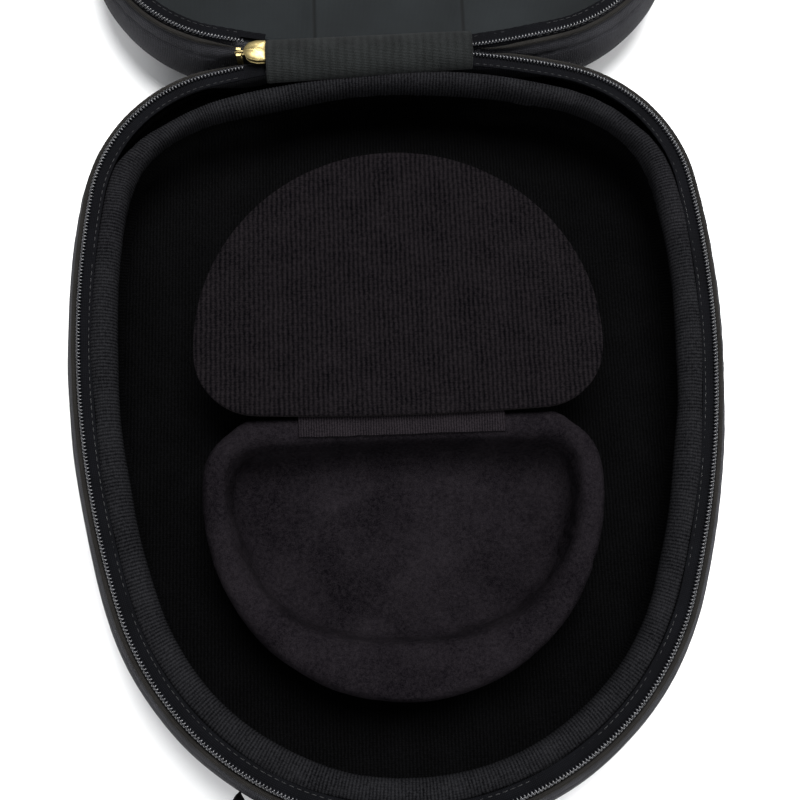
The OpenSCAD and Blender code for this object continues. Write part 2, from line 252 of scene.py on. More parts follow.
def bowl(name, outer_rows, inner_rows, u, rings=10, shape_floor=None):
    """Cup of two skins, each given as rings of points from the rim to the floor's edge."""
    n = len(u) - 1
    points, faces, uvs = [], [], []
    for rows in (outer_rows, inner_rows):
        wall = np.stack(rows, 0)
        centre = wall[-1].mean(0)
        floor = [centre + (wall[-1] - centre) * k for k in np.linspace(1, 0.03, rings + 1)[1:]]
        grid = np.concatenate([wall, np.stack(floor, 0)], 0)
        if shape_floor is not None and rows is inner_rows:
            grid = shape_floor(grid)
        m = len(grid)
        base = sum(len(p) for p in points)
        steps = np.linalg.norm(np.diff(grid, axis=0), axis=2).mean(1)
        v = np.concatenate([[0], np.cumsum(steps)])
        f = grid_faces(m, n, False, True, base)
        uv = grid_uvs(m, n, False, True, v, np.asarray(u))[:, ::-1].copy()
        flat = (len(wall) - 1) * n
        uv[flat * 4:] = grid.reshape(-1, 3)[(f[flat:] - base).ravel()][:, :2]
        points.append(grid.reshape(-1, 3))
        last = np.arange(base + (m - 1) * n, base + m * n)
        faces += f.tolist() + [last.tolist()]
        uvs += uv.tolist() + points[-1][last - base][:, :2].tolist()
    inner = len(points[0])
    for k in range(n):
        q = (k + 1) % n
        faces.append([k, q, inner + q, inner + k])
        uvs += [[u[k], 0], [u[k + 1], 0], [u[k + 1], 1], [u[k], 1]]
    return mesh_object(name, np.concatenate(points), faces, uvs)


def tube_grid(path, radius, sides, closed):
    """Rings round a path, with the side axis level."""
    p = np.asarray(path, float)
    after = np.roll(p, -1, 0) if closed else np.vstack([p[1:], 2 * p[-1] - p[-2]])
    before = np.roll(p, 1, 0) if closed else np.vstack([2 * p[0] - p[1], p[:-1]])
    t = after - before
    t /= np.linalg.norm(t, axis=1)[:, None]
    a = np.cross(t, [0, 0, 1.0])
    a /= np.maximum(np.linalg.norm(a, axis=1), 1e-9)[:, None]
    b = np.cross(a, t)
    turn = np.arange(sides) / sides * 2 * math.pi
    r = np.broadcast_to(radius, (len(p),))[:, None, None]
    ring = np.cos(turn)[None, :, None] * a[:, None] + np.sin(turn)[None, :, None] * b[:, None]
    return p[:, None] + r * ring


def path_length(p, closed=False):
    steps = np.diff(np.vstack([p, p[:1]]) if closed else p, axis=0)
    return np.concatenate([[0], np.cumsum(np.linalg.norm(steps, axis=1))])


def tube(name, path, radius, sides=10, closed=True):
    grid = tube_grid(path, radius, sides, closed)
    return grid_object(name, grid, path_length(path, closed), closed, True)


def catmull_rom(a, b, c, d, q):
    """Point at share q of the way from b to c, with a and d their neighbours."""
    return 0.5 * (2 * b + (c - a) * q + (2 * a - 5 * b + 4 * c - d) * q ** 2
                  + (3 * b - a - 3 * c + d) * q ** 3)


def loop_curve(points, count, closed=True):
    """Smooth curve through points (Catmull-Rom), evenly sampled by parameter."""
    p = np.asarray(points, float)
    k = len(p)
    t = np.arange(count) / count * k if closed else np.linspace(0, k - 1, count)
    i = np.floor(t).astype(int)
    if not closed:
        i = np.minimum(i, k - 2)
    q = (t - i)[:, None]
    pick = (lambda j: p[j % k]) if closed else (lambda j: p[np.clip(j, 0, k - 1)])
    return catmull_rom(pick(i - 1), pick(i), pick(i + 1), pick(i + 2), q)


def stitches(name, path, pitch, length, radius, closed=False):
    """Row of short threads that follow a path of points in mm."""
    p = np.asarray(path, float)
    if closed:
        p = np.vstack([p, p[:1]])
    along = path_length(p)
    count = int(along[-1] / pitch)
    verts, faces, uvs = [], [], []
    shape = np.array([[-0.5, 0.25], [-0.32, 0.9], [0, 1.0], [0.32, 0.9], [0.5, 0.25]])
    for k in range(count):
        middle = (k + 0.5) * pitch
        at = np.clip(middle + shape[:, 0] * length, 0, along[-1])
        line = np.stack([np.interp(at, along, p[:, j]) for j in range(3)], -1)
        line[[0, -1], 2] -= radius * 0.8
        grid = tube_grid(line, shape[:, 1] * radius, 6, False)
        base = len(verts)
        verts += grid.reshape(-1, 3).tolist()
        faces += grid_faces(5, 6, False, True, base).tolist()
        faces += [[base + j for j in range(6)], [base + 24 + j for j in range(6)]]
        uvs += grid_uvs(5, 6, False, True, at, np.arange(7) * radius).tolist()
        uvs += [[at[0], 0]] * 6 + [[at[-1], 0]] * 6
    return mesh_object(name, verts, faces, uvs)


def flip_to_lid(o):
    """Mirror a base piece across the hinge line, for the open lid."""
    n = len(o.data.vertices)
    co = np.zeros(n * 3)
    o.data.vertices.foreach_get("co", co)
    co = co.reshape(-1, 3)
    co[:, 1] = 2 * HINGE_Y * MM - co[:, 1]
    o.data.vertices.foreach_set("co", co.ravel())
    o.data.flip_normals()
    o.data.update()
    return o


def bake(o):
    """Apply every modifier of the object."""
    graph = bpy.context.evaluated_depsgraph_get()
    me = bpy.data.meshes.new_from_object(o.evaluated_get(graph))
    o.modifiers.clear()
    o.data = me
    return o


def smooth_once(o):
    sub = o.modifiers.new("smooth", "SUBSURF")
    sub.levels = sub.render_levels = 1
    bake(o)
    o.data.polygons.foreach_set("use_smooth", [True] * len(o.data.polygons))
    return o


def points_of(o):
    co = np.zeros(len(o.data.vertices) * 3)
    o.data.vertices.foreach_get("co", co)
    return co.reshape(-1, 3)


def inflate(o, pressure, cap, pinned, shrink=0.0, frames=20):
    """Cloth simulation that fills the piece; no point moves further than cap (mm)."""
    start = points_of(o)
    group = o.vertex_groups.new(name="pins")
    group.add([int(i) for i in np.flatnonzero(pinned(start / MM))], 1.0, "REPLACE")
    cloth = o.modifiers.new("cloth", "CLOTH")
    cloth.settings.quality = 6
    cloth.settings.mass = 0.2
    cloth.settings.tension_stiffness = cloth.settings.compression_stiffness = 12
    cloth.settings.bending_stiffness = 0.3
    cloth.settings.use_pressure = True
    cloth.settings.uniform_pressure_force = pressure
    cloth.settings.shrink_min = shrink
    cloth.settings.vertex_group_mass = "pins"
    cloth.settings.effector_weights.gravity = 0
    cloth.collision_settings.use_collision = False
    cloth.point_cache.frame_start, cloth.point_cache.frame_end = 1, frames
    for frame_number in range(1, frames + 1):
        bpy.context.scene.frame_set(frame_number)
    result = o.evaluated_get(bpy.context.evaluated_depsgraph_get())
    move = points_of(result) - start
    far = np.linalg.norm(move, axis=1)
    move *= np.minimum(1, cap * MM / np.maximum(far, 1e-9))[:, None]
    o.modifiers.remove(cloth)
    o.vertex_groups.clear()
    bpy.context.scene.frame_set(1)
    o.data.vertices.foreach_set("co", (start + move).ravel())
    o.data.update()
    return o


def nudge(o, shift):
    """Move the points of a mesh along their normals by shift(points in mm), in mm."""
    n = len(o.data.vertices)
    normal = np.zeros(n * 3)
    o.data.vertices.foreach_get("normal", normal)
    p = points_of(o)
    q = p + normal.reshape(-1, 3) * (shift(p / MM) * MM)[:, None]
    o.data.vertices.foreach_set("co", q.ravel())
    o.data.update()
    return o


# ------------------------------------------------------------------ materials
def srgb(*levels):
    """Linear RGBA from sRGB levels of 0 to 255."""
    linear = [v / 255 / 12.92 if v < 10 else ((v / 255 + 0.055) / 1.055) ** 2.4 for v in levels]
    return (*linear, 1)


class Finish:
    """Node material round one Principled shader. Coordinates are in mm."""

    def __init__(self, name, slot, coords="UV", **settings):
        self.material = bpy.data.materials.new(name)
        self.material.use_nodes = True
        self.slot = slot
        self.tree = self.material.node_tree
        self.shader = self.tree.nodes["Principled BSDF"]
        for socket, value in settings.items():
            self.shader.inputs[socket.replace("_", " ")].default_value = value
        source = self.tree.nodes.new("ShaderNodeTexCoord")
        scale = self.tree.nodes.new("ShaderNodeMapping")
        scale.inputs["Scale"].default_value = (1, 1, 1) if coords == "UV" else (1000, 1000, 1000)
        self.tree.links.new(source.outputs[coords], scale.inputs["Vector"])
        self.mm = scale.outputs["Vector"]

    def node(self, kind, inputs, **settings):
        node = self.tree.nodes.new(kind)
        for key, value in settings.items():
            setattr(node, key, value)
        for key, value in inputs.items():
            if isinstance(value, bpy.types.NodeSocket):
                self.tree.links.new(value, node.inputs[key])
            else:
                node.inputs[key].default_value = value
        return node

    def stretch(self, x=1, y=1, z=1):
        return self.node("ShaderNodeMapping", {"Vector": self.mm, "Scale": (x, y, z)}).outputs[0]

    def waves(self, pitch, axis="X", wander=0.0, grain=1.0, profile="SIN"):
        """Parallel ribs, 0 to 1, one each pitch mm."""
        return self.node("ShaderNodeTexWave", {"Vector": self.mm, "Scale": 0.314159 / pitch,
                                               "Distortion": wander, "Detail": 2.0,
                                               "Detail Scale": grain},
                         wave_type="BANDS", bands_direction=axis, wave_profile=profile).outputs["Fac"]

    def grain(self, size, detail=3.0, vector=None):
        """Soft noise, 0 to 1, with lumps of about size mm."""
        return self.node("ShaderNodeTexNoise", {"Vector": vector or self.mm, "Scale": 1 / size,
                                                "Detail": detail}).outputs["Fac"]

    def sum(self, a, b, share=1.0):
        """a + b * share."""
        return self.node("ShaderNodeMath", {0: b, 1: share, 2: a}, operation="MULTIPLY_ADD").outputs[0]

    def times(self, a, b):
        return self.node("ShaderNodeMath", {0: a, 1: b}, operation="MULTIPLY").outputs[0]

    def tones(self, value, stops):
        """Colour ramp from (position, sRGB colour) stops."""
        ramp = self.node("ShaderNodeValToRGB", {"Fac": value})
        elements = ramp.color_ramp.elements
        while len(elements) < len(stops):
            elements.new(0.5)
        for element, (at, colour) in zip(elements, stops):
            element.position = at
            element.color = srgb(*colour)
        return ramp.outputs["Color"]

    def blend(self, a, b, share):
        """Colour a, with that share of b."""
        mix = self.node("ShaderNodeMix", {"Factor": share, "A": a, "B": b}, data_type="RGBA")
        return mix.outputs["Result"]

    def colour(self, value):
        self.tree.links.new(value, self.shader.inputs["Base Color"])
        return self

    def rough(self, value, low, high):
        mapped = self.node("ShaderNodeMapRange", {"Value": value, "To Min": low, "To Max": high})
        self.tree.links.new(mapped.outputs["Result"], self.shader.inputs["Roughness"])
        return self

    def relief(self, height, depth, strength=1.0):
        bump = self.node("ShaderNodeBump", {"Height": height, "Distance": depth * MM, "Strength": strength})
        self.tree.links.new(bump.outputs["Normal"], self.shader.inputs["Normal"])
        return self


def woven(name, slot, dark, light, pitch, flecks, coords="UV", sheen=0.02):
    """Plain weave with melange flecks."""
    m = Finish(name, slot, coords, Sheen_Weight=sheen, Sheen_Roughness=0.45, Specular_IOR_Level=0.06)
    threads = m.times(m.waves(pitch, "X", 0.6, 2), m.waves(pitch, "Y", 0.6, 2))
    fibre = m.grain(pitch * 0.45, 2)
    streak = m.grain(1.0, 2, m.stretch(0.35 / pitch, 2.4 / pitch, 1))
    tone = m.sum(m.sum(m.times(threads, 0.35), fibre, 0.35), streak, flecks)
    m.colour(m.blend(m.tones(tone, [(0.25, dark), (0.62, light)]),
                     m.tones(m.grain(14, 4), [(0.3, dark), (0.75, light)]), 0.3))
    m.rough(fibre, 0.72, 0.95)
    return m.relief(m.sum(threads, fibre, 0.5), 0.16, 0.7)


def knitted(name, slot, dark, light, pitch, across, coords="UV", depth=0.2, sheen=0.0, axis="X"):
    """Rib knit: ribs each pitch mm, with loops each across mm along them."""
    other = "Y" if axis == "X" else "X"
    m = Finish(name, slot, coords, Sheen_Weight=sheen, Sheen_Roughness=0.5, Specular_IOR_Level=0.02)
    rib = m.waves(pitch, axis, 1.8, 0.8)
    loop = m.waves(across, other, 1.5, 2)
    fuzz = m.grain(pitch * 0.35, 3)
    speck = m.grain(pitch * 0.8, 4)
    tone = m.sum(m.times(rib, 0.13), m.times(rib, loop), 0.1)
    tone = m.sum(tone, m.sum(m.times(fuzz, 0.5), speck, 0.5), 0.82)
    m.colour(m.blend(m.tones(tone, [(0.38, dark), (0.66, light)]),
                     m.tones(m.grain(9, 4), [(0.3, dark), (0.8, light)]), 0.25))
    m.rough(fuzz, 0.8, 1.0)
    return m.relief(m.sum(m.sum(m.times(rib, 0.5), m.times(rib, loop), 0.3), fuzz, 1.1), depth, 0.7)


def brushed(name, slot, dark, light, coords="Object", sheen=0.0, size=1.1):
    """Short-napped felt or velour."""
    m = Finish(name, slot, coords, Sheen_Weight=sheen, Sheen_Roughness=0.4, Specular_IOR_Level=0.02)
    nap = m.grain(size * 0.3, 4)
    tuft = m.grain(size, 3)
    tone = m.sum(m.times(nap, 0.6), tuft, 0.4)
    m.colour(m.blend(m.tones(tone, [(0.38, dark), (0.66, light)]),
                     m.tones(m.grain(16, 4), [(0.35, dark), (0.7, light)]), 0.35))
    m.rough(nap, 0.85, 1.0)
    return m.relief(m.sum(nap, tuft, 0.6), 0.22, 0.75)


def crease_lines(m, places, reach):
    """1 on the lines x = places, and 0 further than reach from them, in mm."""
    place = m.node("ShaderNodeTexCoord", {}).outputs["Object"]
    x = m.node("ShaderNodeSeparateXYZ", {"Vector": place}).outputs["X"]
    fold = 0.0
    for at in places:
        gap = m.node("ShaderNodeMath", {0: x, 1: at * MM}, operation="SUBTRACT").outputs[0]
        away = m.node("ShaderNodeMath", {0: gap}, operation="ABSOLUTE").outputs[0]
        line = m.node("ShaderNodeMapRange", {"Value": away, "From Max": reach * MM, "To Min": 1.0,
                                             "To Max": 0.0}, interpolation_type="SMOOTHSTEP")
        fold = m.sum(line.outputs["Result"], fold)
    return fold


def satin(name, slot, dark, light, creases):
    """Fine smooth cloth with pressed creases along y, at those x in mm, with painted shade darkening the
    creases.
    """
    m = Finish(name, slot, "UV", Sheen_Weight=0.01, Sheen_Roughness=0.35, Specular_IOR_Level=0.1)
    threads = m.waves(0.45, "X", 0.4, 2)
    cross = m.waves(0.5, "Y", 0.4, 2)
    fine = m.grain(0.3, 3)
    plain = m.blend(m.tones(m.sum(m.times(threads, 0.5), fine, 0.5), [(0.2, dark), (0.8, light)]),
                    m.tones(m.grain(30, 3), [(0.3, dark), (0.7, light)]), 0.4)
    fold = crease_lines(m, creases, 1.1)
    # Painted shade: along the crease lines the colour is pulled towards a quarter of the dark tone.
    m.colour(m.blend(plain, srgb(*(v * 0.25 for v in dark)), m.times(fold, 0.75)))
    m.rough(fine, 0.6, 0.78)
    return m.relief(m.sum(m.sum(m.times(threads, cross), fine, 0.4), fold, -4.0), 0.05, 0.6)


def nylon(name, slot, dark, light, rough=0.22):
    """Glossy moulded wire, slightly worn."""
    m = Finish(name, slot, "UV", Specular_IOR_Level=0.6, Coat_Weight=0.4, Coat_Roughness=0.12)
    worn = m.grain(1.6, 3)
    m.colour(m.tones(worn, [(0.3, dark), (0.7, light)]))
    m.rough(m.grain(0.4, 3), rough, rough + 0.18)
    return m.relief(m.grain(0.25, 2), 0.02, 0.4)


def thread(name, slot, dark, light):
    """Twisted sewing thread."""
    m = Finish(name, slot, "UV", Sheen_Weight=0.2, Specular_IOR_Level=0.35)
    ply = m.waves(0.5, "X", 0.5, 1)
    m.colour(m.tones(m.sum(m.times(ply, 0.6), m.grain(0.4, 2), 0.4), [(0.2, dark), (0.8, light)]))
    m.rough(ply, 0.5, 0.8)
    return m.relief(ply, 0.05, 0.6)


def brass(name, slot, dark, light):
    """Brushed plated metal."""
    m = Finish(name, slot, "Object", Metallic=1.0, Anisotropic=0.3)
    brushed_lines = m.grain(1.0, 3, m.stretch(0.4, 6, 6))
    wear = m.grain(1.5, 4)
    m.colour(m.tones(m.sum(m.times(wear, 0.6), brushed_lines, 0.4), [(0.3, dark), (0.7, light)]))
    m.rough(brushed_lines, 0.36, 0.5)
    return m.relief(brushed_lines, 0.01, 0.4)


COVER = woven("cover_melange", "outer_fabric", (7, 7, 8), (60, 60, 64), 0.62, 0.4)
PIPING = woven("piping_cloth", "piping", (8, 8, 7), (44, 42, 40), 0.5, 0.35)
TAPE = woven("tape_twill", "zip_tape", (2, 2, 3), (14, 15, 19), 0.55, 0.2, sheen=0.0)
ROLL = knitted("roll_rib_knit", "knit_lining", (3, 3, 4), (33, 33, 35), 1.1, 0.7, depth=0.08)
# Painted shade: the base lining is the roll's rib knit, given far darker colours for the shade deep inside
# the base.
SHADED_LINING = knitted("lining_rib_knit_painted_shade", "knit_lining", (1, 1, 1), (9, 9, 10), 1.1, 0.7, sheen=0.0)
LID_CREASES = (-25.0, 28.5)
LID_LINING = satin("lid_satin", "lid_lining", (8, 10, 11), (27, 31, 33), LID_CREASES)
JERSEY = knitted("spine_jersey", "jersey", (3, 3, 3), (43, 45, 45), 0.5, 2.6, depth=0.1,
                 sheen=0.04, axis="Y")
FELT = brushed("pad_velour", "felt", (4, 3, 5), (30, 27, 30))
FLAP_KNIT = knitted("flap_rib_knit", "knit_flap", (1, 1, 2), (25, 22, 24), 1.5, 0.8, depth=0.14)
FLAP_FELT = brushed("flap_back_felt", "felt", (12, 11, 12), (38, 35, 36), size=0.9)
BOARD = brushed("board_edge", "board", (24, 22, 21), (78, 72, 68), size=0.5, sheen=0.05)
STRIP = knitted("strip_knit", "jersey", (6, 5, 7), (38, 34, 37), 0.8, 0.5, depth=0.1)
COIL = nylon("coil_nylon", "zip_teeth", (12, 12, 14), (40, 41, 46), 0.1)
THREAD = thread("sewing_thread", "zip_tape", (3, 3, 4), (12, 12, 15))
WEBBING = knitted("handle_webbing", "webbing", (7, 7, 7), (30, 30, 30), 1.6, 0.7, depth=0.3, axis="Y")
BRASS = brass("slider_gold", "slider_brass", (146, 130, 86), (174, 158, 112))


def dress(o, finish, body=None):
    """Give the piece its finish, and the body that it moves with."""
    o.data.materials.clear()
    o.data.materials.append(finish.material)
    if body:
        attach(o, body)
    return o


# ------------------------------------------------------------------ shells
SEAM_Z = 25.2
FOAM = 5.0
BOTTOM_CORNER = RIDGE
STATIONS = 480


def wall_profile(depth, top, upper=16, lower=10):
    """(offset, height) from the top edge down to the flat floor, for a layer at that depth."""
    z = np.linspace(top, RIDGE, upper + 1)[:-1]
    a = np.linspace(0, math.pi / 2, lower + 1)
    r = BOTTOM_CORNER - depth
    high = np.stack([swell(z) - depth, z], -1)
    low = np.stack([BULGE - BOTTOM_CORNER + r * np.cos(a), RIDGE - r * np.sin(a)], -1)
    return np.concatenate([high, low])


def outer_shell(name, seed):
    """Cover and foam shell in one form: turned-in rim, pressed seam, soft puckers."""
    s, u = stations(STATIONS)
    edge = np.array([[-1.6, 28.4], [-1.2, 29.3], [0.4, 29.7], [2.0, 29.5]])
    profile = np.concatenate([edge, wall_profile(0, 28.6, 26, 12)])
    groove = 0.5 * np.exp(-((profile[:, 1] - SEAM_Z) / 0.55) ** 2)
    swollen = 0.28 * np.exp(-((profile[:, 1] - SEAM_Z - 2.2) / 1.3) ** 2)
    rows = []
    for (d, z), dent, puff in zip(profile, groove, swollen):
        flat = case_xyz(s, d, z)
        soft = wobble(flat, 22.0, 0.35, seed) * ease((z - 1.5) / 8)
        pull = 0.12 * np.sin(s * 2 * math.pi / 6.8 + 2 * wobble(flat, 15.0, 1.0, seed + 9))
        pull = pull * math.exp(-((z - SEAM_Z) / 2.2) ** 2)
        rows.append(case_xyz(s, d - dent + puff + soft + pull, z, max(0.0, dent)))
    inner = [case_xyz(s, d, z, FOAM) for d, z in wall_profile(FOAM, 28.4)]
    return bowl(name, rows, inner, u)


# Offsets from the zipper line and heights of the parts of the zipper and its edge
PIPING_OUT, PIPING_Z = 2.75, 30.1
TAPE_Z = 31.0
COIL_OUT, COIL_Z = 0.85, 31.72
COIL_PITCH = 1.13


def piping_cord(name, start, end, seed):
    """Cloth-covered cord outside the zipper, thin at its two ends."""
    s = np.linspace(start, end, 620)
    path = case_xyz(s, PIPING_OUT, PIPING_Z, 0.75)
    path[:, 2] += wobble(path, 9.0, 0.12, seed)
    fat = 0.82 + wobble(path, 6.0, 0.05, seed + 3)
    fat *= 0.25 + 0.75 * ease((s - start) / 14) * ease((end - s) / 14)
    return tube(name, path, fat, 10, closed=False)


def zip_tape(name, start, end, seed, slim_from=None):
    """Flat woven tape with a thick selvedge and a slight ripple along its inner edge.

    Past slim_from its outer edge is folded in, clear of the slider."""
    section = [(-3.3, 0.02), (-2.9, 0.34), (-2.4, 0.2), (-1.4, 0.16), (0, 0.14), (1.3, 0.16),
               (1.65, 0.0), (1.3, -0.3), (-1.4, -0.32), (-2.9, -0.38)]
    s, u = stations(760, start, end)
    rows = []
    slim = ease((s - (slim_from or end)) / 2.5)
    for d, h in section:
        p = case_xyz(s, d - max(0.0, d + 0.9) * slim, TAPE_Z + h)
        inward = max(0.0, -d - 0.8) / 2.5
        p[:, 2] += inward * (0.12 * np.sin(s * 2 * math.pi / 3.1) + wobble(p, 11.0, 0.5, seed))
        rows.append(p)
    return grid_object(name, np.stack(rows, 1), u, False, True)


def zip_coil(name, start, end):
    """One side of a coil zip: a round nylon wire wound flat, one turn each pitch."""
    steps = 10
    count = int((end - start) / COIL_PITCH) * steps
    s = np.linspace(start, end, count)
    turn = np.arange(count) / steps * 2 * math.pi
    lean = 0.18 * np.sin(turn)
    x, y, nx, ny = CASE.at(s + lean, 0)
    d = COIL_OUT + 0.5 * np.cos(turn)
    z = COIL_Z + 0.28 * np.sin(turn)
    p = np.stack([x + d * nx, softmin(y + d * ny, rear_limit(x, 0), 0.8), z], -1)
    return tube(name, p, 0.3, 8, closed=False)


# Where each part starts and ends beside the hinge, as distances along the case's outline
zip_from = CASE.rear_s(28)
zip_to = CASE.rear_s(-47.5)
tape_to = CASE.rear_s(-41)
piping_from = CASE.rear_s(31)
piping_to = CASE.rear_s(-49)

base_outer = dress(outer_shell("base_outer", 1.0), COVER, "base")
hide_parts("base_cover", "base_shell", "base_floor_pad")
lid_outer = dress(flip_to_lid(outer_shell("lid_outer", 5.0)), COVER, "lid")
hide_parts("lid_cover", "lid_shell", "lid_floor_pad")

def as_made(o):
    return o


for half in ("base", "lid"):
    turn = flip_to_lid if half == "lid" else as_made
    seed = 11.0 if half == "lid" else 2.0
    cord = dress(turn(piping_cord(half + "_piping_cord", piping_from, piping_to, seed)), PIPING, half)
    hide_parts(half + "_piping")
    slim_from = CASE.rear_s(-51) if half == "lid" else None
    tape = zip_tape(half + "_woven_tape", zip_from, tape_to, seed, slim_from)
    dress(turn(tape), TAPE, half)
    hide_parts(half + "_zip_tape")
    coil = dress(turn(zip_coil(half + "_coil", zip_from, zip_to)), COIL, half)
    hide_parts(half + "_zip_teeth")
    run = np.linspace(zip_from + 1, CASE.rear_s(-49), 900)
    row = stitches(half + "_tape_stitch", case_xyz(run, -2.3, 31.2), 2.3, 1.6, 0.11)
    dress(turn(row), THREAD, half)
    run = np.linspace(CASE.rear_s(50), CASE.rear_s(-58), 900)
    row = stitches(half + "_piping_stitch", case_xyz(run, 1.62, 31.0), 2.6, 1.8, 0.12)
    dress(turn(row), THREAD, half)


# ------------------------------------------------------------------ base inside
ROLL_STATIONS, ROLL_SIDES = 520, 26
RIB_PITCH = 1.1
ROLL_SEAM_Z = RIM - 9.3


def roll_rings(s):
    """Sections of the roll at distances s: it lies further in behind, and slumps at the left."""
    section = [(-3.4, -3.0), (-2.6, -9.5), (-6, -10.2), (-9.8, -9.7), (-12, -7.8), (-12.6, -5),
               (-11.4, -2.6), (-9, -1.2), (-6.5, -0.9), (-4.6, -1.5), (-3.8, -2.6)]
    behind = ease((np.cos(CASE.angle(s)[0]) - 0.35) / 0.6)
    slump = 2.2 * ease(-CASE.at(s)[0] / 45)
    rows = []
    for d, z in loop_curve(section, ROLL_SIDES):
        side = -2.6 + (d + 2.6) * 0.84
        rear = -6.0 - slump + (d + 2.6) * 0.64
        rows.append(case_xyz(s, side * (1 - behind) + rear * behind, RIM + z, 5.6))
    return np.stack(rows, 1)


def resampled(grid, count):
    """The closed rows of the grid, brought to count rows by smooth curves."""
    n = len(grid)
    t = np.arange(count) / count * n
    i = t.astype(int) % n
    q = (t - np.floor(t))[:, None, None]
    return catmull_rom(*(grid[(i + k) % n] for k in (-1, 0, 1, 2)), q)


def stepped_wobble(grid, size, amount, seed, step=5):
    """Noise that is worked out at each fifth column only, because it is smooth."""
    return np.repeat(wobble(grid[:, ::step], size, amount, seed), step, 1)[:, :grid.shape[1]]


def ribbed(grid, ribs):
    """The roll's rows pushed in and out into ribs, with slow swellings."""
    along = np.arange(len(grid)) / len(grid) * CASE.length
    out = grid - grid.mean(1, keepdims=True)
    out /= np.linalg.norm(out, axis=2, keepdims=True)
    wander = stepped_wobble(grid, 10.0, 0.5, 3.0)
    puff = stepped_wobble(grid, 26.0, 0.55, 8.0)
    rib = 0.055 * np.cos((along[:, None] + wander * 0.6) * 2 * math.pi / (CASE.length / ribs))
    grid = grid + out * (rib + puff)[..., None]
    grid[..., 1] = np.minimum(grid[..., 1], HINGE_Y - 6.0)
    return grid, np.append(along, CASE.length)


def rim_roll():
    """Rib-knit roll round the base's mouth, filled by a cloth simulation, then ribbed."""
    s, u = stations(ROLL_STATIONS)
    name = "base_roll_pad"
    plain = grid_object(name, roll_rings(s), u)
    inflate(plain, 3.0, 0.9, lambda p: p[:, 2] < ROLL_SEAM_Z, shrink=-0.02)
    grid = points_of(plain).reshape(ROLL_STATIONS, ROLL_SIDES, 3) / MM
    bpy.data.objects.remove(plain)
    ribs = int(CASE.length / RIB_PITCH)
    return grid_object(name, *ribbed(resampled(grid, 4 * ribs), ribs))


roll = dress(rim_roll(), ROLL, "base")
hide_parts("base_roll")


def base_bowl():
    """Ribbed knit lining of the base, slightly slack on its walls."""
    s, u = stations(400)

    def skin(depth, seed):
        rows = []
        for d, z in wall_profile(depth, 23.2, 10, 12):
            p = case_xyz(s, d, z, depth)
            soft = wobble(p, 24.0, 0.5, seed) * (0 if depth < 6 else 1) * ease((z - 6) / 5)
            rows.append(case_xyz(s, d - np.abs(soft), z, depth))
        return rows
    return bowl("base_knit_bowl", skin(5.6, 0), skin(6.7, 4.0), u)


# The lining's near-black colours are painted shade.
lining = dress(base_bowl(), SHADED_LINING, "base")
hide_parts("base_lining")


def lid_bowl():
    """Smooth lining of the lid, with two pressed folds that run front to back."""
    s, u = stations(400)
    outer = [case_xyz(s, d, z, 5.6) for d, z in wall_profile(5.6, 29.1, 14, 12)]
    inner = []
    for d, z in wall_profile(6.6, 29.1, 14, 12):
        p = case_xyz(s, d, z, 6.6)
        soft = np.abs(wobble(p, 30.0, 0.6, 6.0)) * ease((z - 6) / 5) * ease((29.1 - z) / 2)
        inner.append(case_xyz(s, d - soft, z, 6.6))

    def folds(grid):
        x, z = grid[..., 0], grid[..., 2]
        out = grid.copy()
        fold = sum(np.exp(-((x - at) / 3.5) ** 2) for at in LID_CREASES)
        out[..., 2] = z + 0.5 * fold * ease((12 - z) / 5)
        return out
    return bowl("lid_satin_bowl", outer, inner, u, rings=48, shape_floor=folds)


lid_in = dress(flip_to_lid(lid_bowl()), LID_LINING, "lid")
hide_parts("lid_lining")


